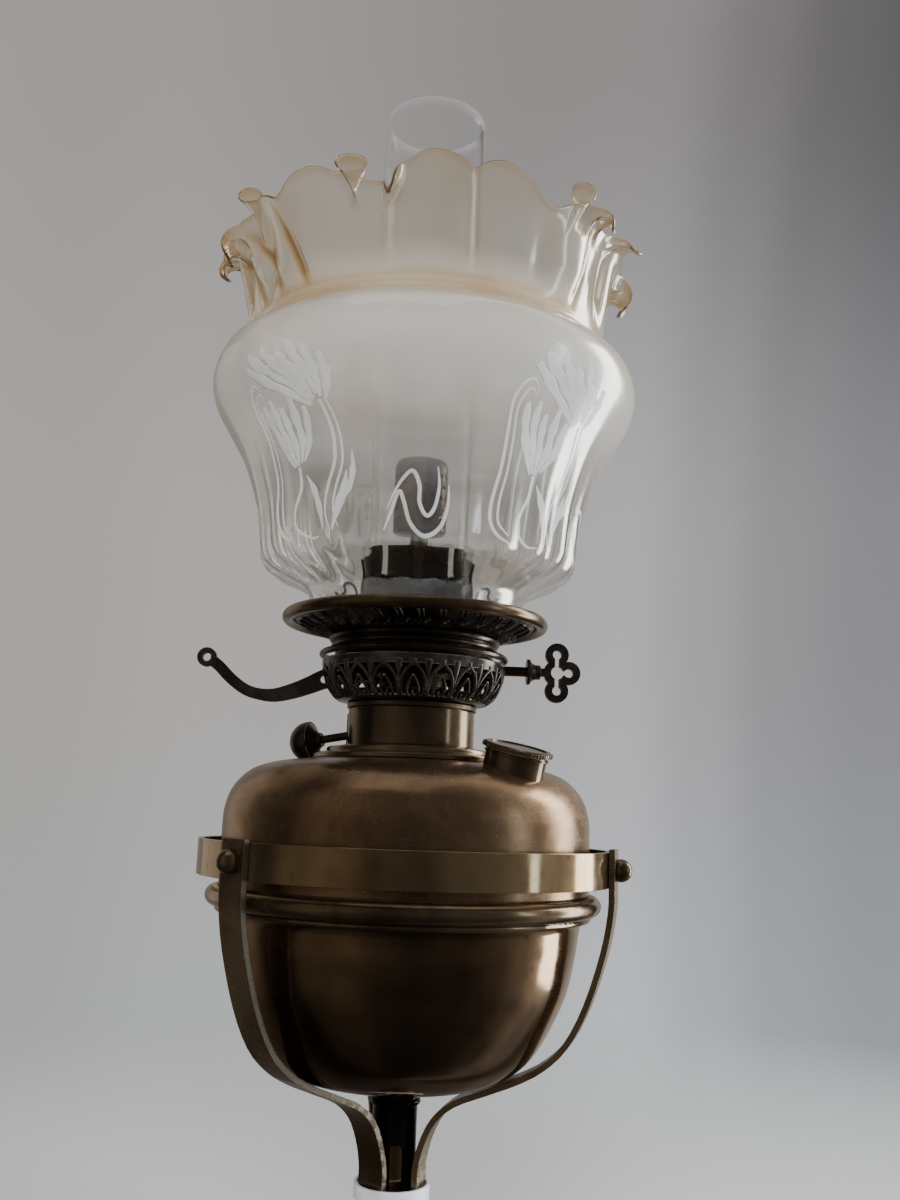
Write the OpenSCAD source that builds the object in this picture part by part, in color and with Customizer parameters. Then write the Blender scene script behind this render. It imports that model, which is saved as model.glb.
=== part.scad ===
// Centre-draught oil lamp head in its three-strap cradle.
// Origin: lamp axis at the open end of the socket in the stem, +Z up, front towards -Y.
// Azimuths are measured from the front (-Y), positive towards +X.

/* [Cradle] */
// Radius of the socket that slips over the stand's tube
socket_r = 8; // [7:0.5:8.5]
// Depth of that socket
socket_depth = 22; // [16:1:26]
// Radius of the stem barrel that the straps are screwed to
barrel_r = 10.5; // [10.5:0.1:10.5]
// Width of each strap
strap_w = 15; // [12:0.5:15]
// Thickness of each strap
strap_t = 2.6; // [2:0.1:2.8]
// Azimuths of the three straps
strap_az = [-46, 74, 194];
// Outer radius of the flat ring round the font
ring_r = 93.5; // [93:0.1:93.5]
// Height of that ring
ring_h = 15.2; // [12:0.2:16]
// Thickness of that ring
ring_t = 2.2; // [1.5:0.1:2.4]

/* [Font] */
// Outer radius of the font's straight wall
font_r = 83.5; // [82.5:0.1:83.5]
// Radius of the turn from wall to top of the dome
dome_turn = 26; // [22:1:28]
// Thickness of the font's sheet brass
font_t = 1; // [0.8:0.1:1.4]
// Section radius of the seam bead
bead_r = 4.2; // [3.6:0.1:4.4]
// Outer radius of the screwed collar
collar_r = 29.4; // [29:0.1:30]
// Outer radius of the black draught tube below the font
draught_r = 9.8; // [9.4:0.1:10]
// Azimuth of the filler
filler_az = 45; // [40:1:55]
// Outward tilt of the filler
filler_tilt = 14; // [8:1:18]

/* [Burner] */
// Radius of the basket's rolled rim
basket_r = 43; // [42:0.1:43.5]
// Number of leaf-shaped piercings round the basket
basket_leaves = 22; // [14:2:26]
// Outer radius of the centre tube
centre_r = 9.4; // [9.2:0.1:9.6]
// Thickness of the woven wick
wick_t = 3; // [2.4:0.1:3]
// Azimuth of the wick winder
winder_az = -110; // [-116:1:-104]
// Downward slope of the winder's shaft
winder_slope = 9.2; // [6:0.2:10]
// Height of the gallery raiser's key shaft
key_z = 267; // [266.6:0.1:267]
// Pitch radius of both pinions
pinion_r = 4; // [4:0.5:4]
// Number of teeth on each pinion
pinion_teeth = 8; // [8:1:8]

/* [Gallery and glass] */
// Radius of the gallery's rolled rim, to the middle of the roll
rim_r = 59.9; // [59:0.1:60.5]
// Section radius of that roll
rim_roll = 2.9; // [2.4:0.1:3]
// Number of flame-shaped piercings in the gallery
gallery_slots = 36; // [24:2:40]
// Outer radius of the chimney
chimney_r = 25.4; // [24.5:0.1:25.5]
// Height of the chimney
chimney_h = 260; // [220:5:280]
// Outer radius of the shade's fitter
fitter_r = 50.5; // [49:0.1:51]
// Thickness of the shade's glass
shade_t = 1.8; // [1.4:0.1:2.4]

/* [Hidden] */
$fn = 96;

cut = 0.5;              // how far a cutter runs past the face it opens
gap = 0.3;              // air left between pieces that only lie together
strap_in = 10.6;        // inner face of the straps on the stem
screw_r = 2;            // shank of the ball-headed screws
head_r = 5;             // ball head of the screws
screw_fit = 0.05;       // air round a screw's shank
stem_screw_z = 28;
ring_z = 170.4;
ring_screw_z = ring_z + ring_h / 2;
strap_mid = strap_in + strap_t / 2;
ring_mid = ring_r + 0.1 + strap_t / 2;
bead_z = 161.4;
bowl_foot = 84;         // underside of the font
bead_mid = font_r + 1.4;
dome_z = 194;
collar_z = 229.5;
collar_h = 16.5;
basket_z = 249.2;
basket_t = 0.9;
diffuser_z = 253;
rim_z = 288;
floor_z = 288.2;
floor_t = 0.8;
glass_z = floor_z + floor_t + gap;
lever_x = -30;
lever_z = 261;
lever_t = 2.4;
pin_r = 1.2;
shaft_r = 1.9;
key_r = 2.3;
wick_r = centre_r + 0.5 + wick_t;
sleeve_r = wick_r + 2.5;
winder_axis_z = 234.9 + collar_r * tan(winder_slope);
filler_at = [62.5, 0, 218];
filler_neck_r = 13.3;
cap_r = 15.4;
cap_z = 9.5;            // underside of the cap's disc, along the filler
tube_top = 320;
wick_low = 110;
wick_top = 319.4;
sleeve_low = 257;
sleeve_top = 313.4;
crown_top = 318.5;
spreader_z = 330;
spreader_r = 12.7;
eye_at = [-97, 0, 268]; // centre of the lever's eye
eye_r = 4.5;
eye_hole_r = 1.95;

brass = "#6b5230";
dark_brass = "#4a3a24";
black = "#1d1a19";
pale = "#c9c6c0";

// ---- curves ----

// One point of a smooth curve that passes through p1 and p2
function spline(p0, p1, p2, p3, t) =
    (2 * p1 + (p2 - p0) * t + (2 * p0 - 5 * p1 + 4 * p2 - p3) * t * t
     + (3 * p1 - p0 - 3 * p2 + p3) * t * t * t) / 2;

// Smooth curve through a list of points
function smooth(p, steps) = concat(
    [for (i = [0:len(p) - 2]) for (s = [0:steps - 1])
        spline(p[max(i - 1, 0)], p[i], p[i + 1], p[min(i + 2, len(p) - 1)], s / steps)],
    [p[len(p) - 1]]);

// Points of an arc
function arc(c, r, a0, a1, n) =
    [for (i = [0:n]) c + r * [cos(a0 + (a1 - a0) * i / n), sin(a0 + (a1 - a0) * i / n)]];

function unit(v) = v / norm(v);

// Left-hand normal of a path at point i
function side(p, i) = let(d = unit(p[min(i + 1, len(p) - 1)] - p[max(i - 1, 0)])) [-d[1], d[0]];

function shifted(p, d) = [for (i = [0:len(p) - 1]) p[i] + d * side(p, i)];

function reversed(p) = [for (i = [len(p) - 1:-1:0]) p[i]];

// Closed outline between a path and the same path moved sideways
module ribbon(p, d0, d1) {
    polygon(concat(shifted(p, d0), reversed(shifted(p, d1))));
}

// ---- shared shapes ----

// Turns the children so that their +X points at an azimuth
module at_az(az) {
    rotate([0, 0, az - 90]) children();
}

// Stands a flat outline up in the plane of the radius
module upright(w) {
    rotate([90, 0, 0]) linear_extrude(w, center = true) children();
}

module tube(r_out, r_in, z0, z1) {
    translate([0, 0, z0]) difference() {
        cylinder(r = r_out, h = z1 - z0);
        translate([0, 0, -cut]) cylinder(r = r_in, h = z1 - z0 + 2 * cut);
    }
}

module torus(r_mid, r_section, z) {
    rotate_extrude() translate([r_mid, z]) circle(r = r_section, $fn = 32);
}

// Cylinder lying along +X from x0 to x1
module rod(r, x0, x1) {
    translate([x0, 0, 0]) rotate([0, 90, 0]) cylinder(r = r, h = x1 - x0, $fn = 32);
}

// Ball-headed screw with its seat at x = 0 and its head outwards along +X
module ball_screw(shank) {
    rod(screw_r, -shank, 0.5);
    rod(head_r - 0.4, 0, 1.4);
    difference() {
        translate([1.8, 0, 0]) sphere(r = head_r, $fn = 48);
        translate([-2 * head_r, -head_r, -head_r]) cube(2 * head_r);
    }
}

// Leaf outline: where two circles cross, long along Y
module leaf(length, width) {
    r = (length * length / 4 + width * width / 4) / width;
    intersection() {
        translate([r - width / 2, 0]) circle(r = r);
        translate([width / 2 - r, 0]) circle(r = r);
    }
}

// Pinion on the X axis, with square teeth
module pinion(x0, x1, bore) {
    difference() {
        union() {
            rod(pinion_r - 1.1, x0, x1);
            for (i = [0:pinion_teeth - 1])
                rotate([360 * i / pinion_teeth, 0, 0])
                    translate([x0, 0, -0.5]) cube([x1 - x0, pinion_r + 0.7, 1]);
        }
        rod(bore, x0 - cut, x1 + cut);
    }
}

// Straight rack beside a pinion at x, z, standing along Z on its +Y side
module rack(x0, x1, z_mesh, z_low, z_high) {
    pitch = 2 * PI * pinion_r / pinion_teeth;
    translate([x0, pinion_r + 1.2, z_low]) cube([x1 - x0, 2, z_high - z_low]);
    for (k = [ceil((z_low - z_mesh) / pitch):floor((z_high - z_mesh) / pitch)])
        let (z = z_mesh + (k + 0.5) * pitch)
            if (z - 0.5 > z_low && z + 0.5 < z_high)
                translate([x0, pinion_r - 0.6, z - 0.5]) cube([x1 - x0, 2, 1]);
}

// ---- cradle ----

module stem() {
    color(brass) difference() {
        rotate_extrude() polygon([
            [0, 0], [14, 0], [14.5, 1], [14.5, 6], [13.4, 7.2], [14.2, 9], [13.2, 11.4],
            [barrel_r, 13], [barrel_r, 33.4], [8.2, 34.4], [8.2, 58], [6.5, 61], [0, 62]
        ]);
        translate([0, 0, -cut]) cylinder(r = socket_r, h = socket_depth + cut);
        for (az = strap_az) at_az(az)
            translate([0, 0, stem_screw_z]) rod(screw_r + screw_fit, 4, 12);
    }
}

strap_path = smooth([
    [ring_mid, 187], [ring_mid, 172], [ring_mid - 0.3, 160], [91.5, 143], [84.5, 121],
    [76, 104.5], [66, 94.6], [55.2, 88.4], [41.3, 82.6], [28, 77], [19.6, 69.8],
    [14.6, 60], [strap_mid + 0.2, 50], [strap_mid, 42], [strap_mid, 19]
], 3);

module strap(az) {
    color(dark_brass) at_az(az) difference() {
        upright(strap_w) ribbon(strap_path, -strap_t / 2, strap_t / 2);
        translate([0, 0, ring_screw_z]) rod(screw_r + screw_fit, 80, 110);
        translate([0, 0, stem_screw_z]) rod(screw_r + screw_fit, 5, 20);
    }
}

module strap_front_left() {
    strap(strap_az[0]);
}

module strap_right() {
    strap(strap_az[1]);
}

module strap_rear() {
    strap(strap_az[2]);
}

module cradle_ring() {
    color(brass) difference() {
        tube(ring_r, ring_r - ring_t, ring_z, ring_z + ring_h);
        for (az = strap_az) at_az(az)
            translate([0, 0, ring_screw_z]) rod(screw_r + screw_fit, 80, 110);
    }
}

module ring_screws() {
    color(dark_brass) for (az = strap_az) at_az(az)
        translate([ring_mid + strap_t / 2 + 0.05, 0, ring_screw_z]) ball_screw(strap_t + ring_t + 1.5);
}

module stem_screws() {
    color(dark_brass) for (az = strap_az) at_az(az)
        translate([strap_mid + strap_t / 2 + 0.05, 0, stem_screw_z]) ball_screw(8);
}

module stem_band() {
    corner = norm([strap_in + strap_t, strap_w / 2]);
    color(pale) tube(corner + 1.3, corner + 0.1, 35.5, 41.5);
}

// ---- font ----

bowl_path = smooth([
    [82.4, 157.2], [80.2, 153.5], [79.2, 149], [77.9, 140], [74.4, 124], [67.8, 109],
    [60.7, 97.4], [54, 90.9], [48, 87.3], [40, 85], [30, 84.1]
], 2);

module font_bowl() {
    color(brass) rotate_extrude() {
        ribbon(bowl_path, 0, -font_t);
        translate([centre_r + 0.3, 84.1]) square([31 - centre_r, font_t]);
    }
}

dome_path = concat(
    [[28.1, 223.9], [46, 222.5]],
    arc([font_r - dome_turn, dome_z], dome_turn, 80, 0, 12),
    [[font_r, bead_z + bead_r - 0.1]]);

module filler_frame() {
    at_az(filler_az) translate(filler_at) rotate([0, filler_tilt, 0]) children();
}

module font_dome() {
    color(brass) difference() {
        rotate_extrude() ribbon(dome_path, 0, -font_t);
        filler_frame() translate([0, 0, -8]) cylinder(r = filler_neck_r + 0.3, h = 16);
    }
}

module seam_bead() {
    color(dark_brass) {
        torus(bead_mid, bead_r, bead_z);
        rotate_extrude() difference() {
            translate([bead_mid - 1.8, bead_z - 5.35]) circle(r = 1.5, $fn = 32);
            polygon(concat([[82.5, 158.2]], shifted(bowl_path, 0.05), [[0, bowl_foot], [0, 158.2]]));
        }
    }
}

module shoulder_ring() {
    color(brass) rotate_extrude() difference() {
        union() {
            polygon([[28.2, 224.3], [45, 223], [44.6, 225], [41, 225.8], [38.8, 226.2], [38.4, 228],
                     [34, 228.6], [32, 229.2], [28.2, 229.3]]);
            translate([43.8, 224.2]) circle(r = 1.1, $fn = 32);
            translate([37.6, 227.2]) circle(r = 1.1, $fn = 32);
        }
        polygon([[20, 222.8], [28.1, 224.2], [46.5, 222.7], [46.5, 220], [20, 220]]);
    }
}

module font_collar() {
    color(brass) difference() {
        tube(collar_r, collar_r - 1.5, collar_z, collar_z + collar_h);
        winder_frame() rod(shaft_r + 0.3, 20, 36);
    }
}

module draught_tube() {
    color(black) difference() {
        union() {
            tube(draught_r, draught_r - 0.9, 36, 83.7);
            tube(13, draught_r - 0.2, 82, 83.7);
            difference() {
                torus(draught_r, 1.4, 75);
                translate([0, 0, 70]) cylinder(r = draught_r - 0.5, h = 10);
            }
        }
        for (i = [0:5]) at_az(20 + 60 * i) translate([0, -1.2, 77]) cube([20, 2.4, 4.6]);
        for (i = [0:2]) at_az(8 + 120 * i) {
            translate([0, -4, 30]) cube([20, 8, 24.4]);
            translate([0, 0, 54.4]) rod(4, 0, 20);
        }
    }
}

module centre_tube() {
    color(dark_brass) tube(centre_r, centre_r - 0.8, bowl_foot, tube_top);
}

module outer_wick_tube() {
    color(dark_brass) tube(wick_r + 1.3, wick_r + 0.4, 206, 318);
}

module filler_neck() {
    color(brass) filler_frame() {
        tube(filler_neck_r, filler_neck_r - 1.1, -4, cap_z - 0.5);
        tube(filler_neck_r + 0.7, filler_neck_r - 0.1, cap_z - 2.1, cap_z - 1.3);
    }
}

// The winder's shaft lies along +X in this frame
module winder_frame() {
    at_az(winder_az) translate([0, 0, winder_axis_z]) rotate([0, winder_slope, 0]) children();
}

module winder_plate() {
    color(brass) difference() {
        at_az(winder_az) translate([collar_r + 0.1, -5, collar_z + 0.4]) cube([0.9, 10, 14.6]);
        winder_frame() rod(shaft_r + 0.3, 20, 36);
    }
}

// ---- burner, fixed parts ----

module burner_collar() {
    color(dark_brass) rotate_extrude()
        polygon([[26.4, 240.5], [27.7, 240.5], [27.7, 246.6], [30.2, 246.6], [30.2, 248.6], [26.4, 248.6]]);
}

basket_path = smooth([
    [27, basket_z], [33.5, 250.3], [38.6, 254.2], [41.3, 260], [42.3, 265.5], [42.4, 269.6]
], 3);

module burner_basket() {
    color(black) difference() {
        rotate_extrude() ribbon(basket_path, 0, basket_t);
        for (i = [0:basket_leaves - 1]) {
            at_az(360 * (i + 0.5) / basket_leaves) {
                translate([30, 0, 260.6]) rotate([90, 0, 90]) linear_extrude(20) leaf(12, 5);
            }
            at_az(360 * i / basket_leaves) {
                translate([0, 0, 265.6]) rod(1.1, 30, 50);
                translate([0, 0, 255.4]) rod(0.9, 30, 50);
            }
        }
        at_az(-90) translate([30, -lever_t / 2 - 0.6, 251.5]) cube([20, lever_t + 1.2, 16]);
        at_az(90) translate([0, 0, key_z]) rod(key_r + 0.1, 30, 50);
    }
}

module basket_rim() {
    color(dark_brass) difference() {
        torus(basket_r, 1.5, 271.3);
        translate([0, 0, 269]) cylinder(r = basket_r - 1, h = 5);
    }
}

module air_diffuser() {
    color(dark_brass) difference() {
        tube(36, sleeve_r + 0.6, diffuser_z, diffuser_z + 0.8);
        for (i = [0:19]) at_az(18 * i + 9) translate([24, 0, diffuser_z - cut]) cylinder(r = 1.6, h = 3, $fn = 24);
        at_az(-90) translate([26, -lever_t / 2 - 0.4, diffuser_z - cut]) cube([12, lever_t + 0.8, 3]);
    }
}

module lever_bracket() {
    color(dark_brass) difference() {
        for (s = [-1, 1])
            translate([lever_x - 2.5, s * (lever_t / 2 + 0.4) - (s < 0 ? 1.2 : 0), diffuser_z + 0.9])
                cube([5, 1.2, 10]);
        translate([lever_x, 0, lever_z]) rotate([90, 0, 0])
            cylinder(r = pin_r + 0.02, h = 12, center = true, $fn = 32);
    }
}

module lever_pin() {
    color(brass) translate([lever_x, 0, lever_z]) rotate([90, 0, 0]) {
        cylinder(r = pin_r, h = lever_t + 4, center = true, $fn = 32);
        translate([0, 0, lever_t / 2 + 2]) cylinder(r = 2, h = 0.8, $fn = 32);
    }
}

module key_bracket() {
    color(dark_brass) difference() {
        translate([24, -3.6, diffuser_z + 0.9]) cube([2.2, 7.2, 17]);
        translate([0, 0, key_z]) rod(key_r + 0.06, 20, 30);
    }
}

// ---- filler cap ----

module filler_cap() {
    color(brass) filler_frame() difference() {
        union() {
            translate([0, 0, cap_z]) cylinder(r = cap_r, h = 1.6);
            translate([0, 0, cap_z + 1.6]) cylinder(r1 = cap_r - 0.3, r2 = cap_r - 1.2, h = 0.5);
            tube(11.9, 10.4, 4, cap_z + 0.1);
        }
        translate([0, 0, cap_z + 1.6]) cylinder(r = 12.6, h = 2);
        for (i = [0:59]) rotate([0, 0, 6 * i]) translate([cap_r + 0.1, 0, cap_z - cut]) cylinder(r = 0.3, h = 4, $fn = 16);
    }
}

module cap_washer() {
    color("#5a3a22") filler_frame() tube(14, 12.3, cap_z - 0.45, cap_z - 0.05);
}

// ---- wick winder ----

module winder_shaft() {
    color(dark_brass) winder_frame() rod(shaft_r, 17.6, 46);
}

module winder_knob() {
    color(black) winder_frame() translate([45.4, 0, 0]) rotate([0, 90, 0]) difference() {
        rotate_extrude() polygon(concat(
            [[0, 0], [3.2, 0], [3.6, 1.4], [5.6, 3.2], [8.6, 5.2]],
            arc([0, 6.6], 9.6, -8, 90, 12)));
        translate([0, 0, -cut]) cylinder(r = shaft_r + 0.02, h = 1.1);
    }
}

module winder_pinion() {
    color(brass) winder_frame() pinion(18.4, 20.4, shaft_r + 0.02);
}

// ---- wick ----

module wick() {
    color("#d8cfba") tube(wick_r, centre_r + 0.4, wick_low, wick_top);
}

module wick_carrier() {
    color(brass) {
        tube(wick_r + 1, wick_r + 0.1, 186, 196);
        difference() {
            tube(21, wick_r + 0.9, 194, 196);
            at_az(winder_az) translate([-30, -30, 190]) cube([46, 60, 10]);
        }
        at_az(winder_az) rack(18.5, 20.3, winder_axis_z - 19.4 * tan(winder_slope), 194, 246.5);
    }
}

// ---- gallery raiser ----

module key_shaft() {
    color(dark_brass) at_az(90) translate([0, 0, key_z]) {
        rod(key_r, 23, 53.5);
        rod(3.2, 27, 29);
    }
}

// The three lobes of the key and its loop, as outlines
module key_lobes(r_lobe, r_middle) {
    translate([68, 0]) circle(r = r_middle);
    for (c = [[67.8, 8.6], [67.8, -8.6], [73.4, 0]]) translate(c) circle(r = r_lobe);
}

module trefoil_key() {
    color(black) at_az(90) translate([0, 0, key_z]) {
        rotate([0, 90, 0]) rotate_extrude() polygon([
            [0, 53.5], [6, 53.5], [6, 54.9], [4.4, 55.9], [3.5, 57.5], [3.4, 59.9], [0, 60.5]
        ]);
        difference() {
            upright(3.4) union() {
                translate([58, -1.9]) square([6, 3.8]);
                key_lobes(5.5, 6.4);
            }
            upright(6) key_lobes(2.1, 3);
            translate([66.8, -3, -8]) cube([2, 6, 16]);
            translate([69, -3, -1.1]) cube([4, 6, 2.2]);
        }
    }
}

module key_pinion() {
    color(brass) at_az(90) translate([0, 0, key_z]) pinion(30.2, 32.8, key_r + 0.02);
}

// ---- gallery ----

module gallery_neck() {
    color(dark_brass) difference() {
        rotate_extrude() {
            translate([36.4, 262]) square([0.9, 17.6]);
            translate([36.4, 273.4]) square([1.2, 6.8]);
            translate([37.6, 275.6]) circle(r = 1.6, $fn = 32);
            translate([38.4, 278.9]) circle(r = 1.9, $fn = 32);
        }
        at_az(90) translate([30, -4, 260]) cube([10, 8, 11]);
        at_az(-90) translate([30, -4, 260]) cube([10, 8, 11]);
    }
}

gallery_path = smooth([[37.6, 281.2], [44, 281.8], [50.6, 284.2], [56.4, 287.4]], 3);

module gallery_plate() {
    color(black) difference() {
        rotate_extrude() ribbon(gallery_path, -0.4, 0.4);
        for (i = [0:gallery_slots - 1]) at_az(360 * i / gallery_slots)
            translate([48.6, 0, 275]) linear_extrude(20) rotate(90) leaf(11, 3.4);
    }
}

module gallery_rim() {
    color(brass) torus(rim_r, rim_roll, rim_z);
}

module gallery_floor() {
    color(dark_brass) difference() {
        tube(rim_r - rim_roll - 0.2, 22, floor_z, floor_z + floor_t);
        for (i = [0:23]) at_az(15 * i) translate([42, 0, floor_z - cut]) cylinder(r = 2.4, h = 3, $fn = 24);
    }
}

module chimney_crown() {
    color(black) difference() {
        tube(chimney_r + 1.5, chimney_r + 0.4, floor_z + floor_t + 0.1, crown_top);
        for (i = [0:9]) at_az(36 * i) translate([20, -2, 300]) cube([12, 4, 20]);
        for (i = [0:9]) at_az(36 * i + 18) translate([0, 0, 306]) rod(1.6, 20, 32);
    }
}

scroll_path = smooth([
    [27.65, 296], [28.6, 301.5], [30.2, 305], [32.6, 306.4], [34.6, 304.6], [34, 301.6],
    [36.4, 299.4], [38.8, 301.2]
], 3);

module crown_scrolls() {
    color(black) for (i = [0:5]) at_az(60 * i + 30) upright(2.6) {
        ribbon(scroll_path, -0.6, 0.6);
        translate([26.95, floor_z + floor_t + 0.1]) square([1.2, 8]);
    }
}

module gallery_rack() {
    color(brass) at_az(90) {
        rack(30.2, 32.8, key_z, 254.4, 277);
        translate([30.2, pinion_r + 1.2, 274]) cube([5.1, 2, 3]);
    }
}

// ---- extinguisher ----

module extinguisher_sleeve() {
    color(dark_brass) {
        tube(sleeve_r, sleeve_r - 0.8, sleeve_low, sleeve_top);
        tube(sleeve_r + 3, sleeve_r - 0.1, 262.8, 263.8);
    }
}

// Middle line of the lever, from its tip under the sleeve's flange to the eye
lever_path = smooth([
    [-17, 261], [-24, 261], [-30, 261], [-36, 261], [-42, 259.6], [-48, 256.8], [-56, 253.6],
    [-64, 251.4], [-71, 251.5], [-78, 253.4], [-85, 258.2], [-91, 264], [-95.4, 267.2]
], 3);

// Half-width of the lever along its length
function lever_half(i) = let(t = i / (len(lever_path) - 1))
    t < 0.1 ? 1.2 : t < 0.28 ? 1.2 + 3.6 * (t - 0.1) / 0.18 : 4.8 - 2.2 * min((t - 0.28) / 0.4, 1);

module lever() {
    n = len(lever_path) - 1;
    color(black) difference() {
        union() {
            upright(lever_t) polygon(concat(
                [for (i = [0:n]) lever_path[i] + lever_half(i) * side(lever_path, i)],
                [for (i = [n:-1:0]) lever_path[i] - lever_half(i) * side(lever_path, i)]));
            translate(eye_at) rotate([90, 0, 0])
                cylinder(r = eye_r, h = lever_t + 0.6, center = true);
        }
        translate(eye_at) rotate([90, 0, 0]) cylinder(r = eye_hole_r, h = 10, center = true);
        translate([-41.6, 0, 259.6]) rotate([90, 0, 0]) cylinder(r = 1.8, h = 10, center = true);
        translate([lever_x, 0, lever_z]) rotate([90, 0, 0])
            cylinder(r = pin_r + 0.06, h = 10, center = true, $fn = 32);
    }
}

// ---- flame spreader ----

module flame_spreader() {
    color(dark_brass) difference() {
        rotate_extrude() polygon(concat(
            [[4.6, spreader_z], [11.6, spreader_z + 0.6], [spreader_r, spreader_z + 2], [spreader_r, 364]],
            [[11.4, 367], [8, 368.4], [0, 369], [0, 368], [7.6, 367.4], [10.6, 366.2]],
            [[11.9, 363.6], [11.9, 332.4], [11.2, 331.4], [4.6, 330.9]]));
        for (k = [0:4]) for (i = [0:15]) at_az(22.5 * (i + k / 2))
            translate([0, 0, 337 + 5.4 * k]) rod(1, 8, 16);
    }
}

module spreader_stem() {
    color(dark_brass) {
        translate([0, 0, 306]) cylinder(r = 4.4, h = 30, $fn = 48);
        translate([0, 0, 310]) cylinder(r = centre_r - 1.1, h = 8, $fn = 48);
        translate([0, 0, 331.1]) cylinder(r = 6.4, h = 1.2, $fn = 48);
    }
}

// ---- glass ----

module chimney() {
    color([0.85, 0.92, 0.92, 0.35]) tube(chimney_r, chimney_r - 1.3, glass_z, glass_z + chimney_h);
}

shade_path = smooth([
    [fitter_r, glass_z], [fitter_r, 297], [53, 301.6], [61, 305.8], [69.5, 310], [73.8, 316],
    [75.4, 327], [78, 342], [84.6, 361], [93, 376], [100.4, 388.5], [102.4, 399], [99, 409.6],
    [92, 415.6], [86.6, 420], [87, 430], [91.4, 447], [96, 461], [99, 471]
], 3);

module shade() {
    color([0.93, 0.85, 0.68, 0.4]) rotate_extrude() ribbon(shade_path, 0, shade_t);
}

stem();
strap_front_left();
strap_right();
strap_rear();
cradle_ring();
ring_screws();
stem_screws();
stem_band();
font_bowl();
font_dome();
seam_bead();
shoulder_ring();
font_collar();
draught_tube();
centre_tube();
outer_wick_tube();
filler_neck();
winder_plate();
burner_collar();
burner_basket();
basket_rim();
air_diffuser();
lever_bracket();
lever_pin();
key_bracket();
filler_cap();
cap_washer();
winder_shaft();
winder_knob();
winder_pinion();
wick();
wick_carrier();
key_shaft();
trefoil_key();
key_pinion();
gallery_neck();
gallery_plate();
gallery_rim();
gallery_floor();
chimney_crown();
crown_scrolls();
gallery_rack();
extinguisher_sleeve();
lever();
flame_spreader();
spreader_stem();
chimney();
shade();
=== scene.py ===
"""Looks of the oil lamp head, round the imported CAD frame. +Z up, front towards -Y; outlines in mm."""
import math

import bpy
import numpy as np
from mathutils import Matrix, Vector


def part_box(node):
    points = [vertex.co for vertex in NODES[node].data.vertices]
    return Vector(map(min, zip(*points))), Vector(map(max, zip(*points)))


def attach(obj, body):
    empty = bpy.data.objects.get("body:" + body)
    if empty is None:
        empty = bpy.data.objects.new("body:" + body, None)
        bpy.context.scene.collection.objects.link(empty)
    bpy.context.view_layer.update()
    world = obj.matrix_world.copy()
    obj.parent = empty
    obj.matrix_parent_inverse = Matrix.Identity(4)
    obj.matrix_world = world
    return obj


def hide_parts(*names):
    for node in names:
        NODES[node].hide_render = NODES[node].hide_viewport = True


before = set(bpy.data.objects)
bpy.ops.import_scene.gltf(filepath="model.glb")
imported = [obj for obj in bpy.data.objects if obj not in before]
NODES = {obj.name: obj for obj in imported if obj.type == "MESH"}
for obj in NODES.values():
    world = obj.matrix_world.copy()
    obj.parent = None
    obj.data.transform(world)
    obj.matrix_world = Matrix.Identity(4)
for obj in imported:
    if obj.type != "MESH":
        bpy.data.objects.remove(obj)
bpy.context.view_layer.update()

MM = 0.001
TAU = 2 * math.pi

# ---------------------------------------------------------------- camera

CAMERA_DISTANCE = 0.540
CAMERA_HEIGHT = 0.200
CAMERA_PITCH = 10.5      # degrees up
CAMERA_YAW = 1.7         # degrees to the right
CAMERA_ROLL = 2.1        # degrees anticlockwise
LENS = 34.5
SENSOR = 36.0


def make_camera():
    data = bpy.data.cameras.new("camera")
    data.sensor_fit = "VERTICAL"
    data.sensor_height = SENSOR
    data.lens = LENS
    data.clip_start = 0.01
    camera = bpy.data.objects.new("camera", data)
    bpy.context.scene.collection.objects.link(camera)
    turn = Matrix.Rotation(math.radians(-CAMERA_YAW), 4, "Z")
    tip = Matrix.Rotation(math.radians(90 + CAMERA_PITCH), 4, "X")
    roll = Matrix.Rotation(math.radians(CAMERA_ROLL), 4, "Z")
    place = Matrix.Translation((0, -CAMERA_DISTANCE, CAMERA_HEIGHT))
    camera.matrix_world = place @ turn @ tip @ roll
    bpy.context.scene.camera = camera


make_camera()

# ---------------------------------------------------------------- node helpers


def set_stops(ramp, stops):
    """Give a colour ramp its stops, each a place from 0 to 1 and a colour."""
    while len(ramp.elements) < len(stops):
        ramp.elements.new(0.5)
    for element, (at, colour) in zip(ramp.elements, stops):
        element.position = at
        element.color = (*colour, 1)


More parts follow.
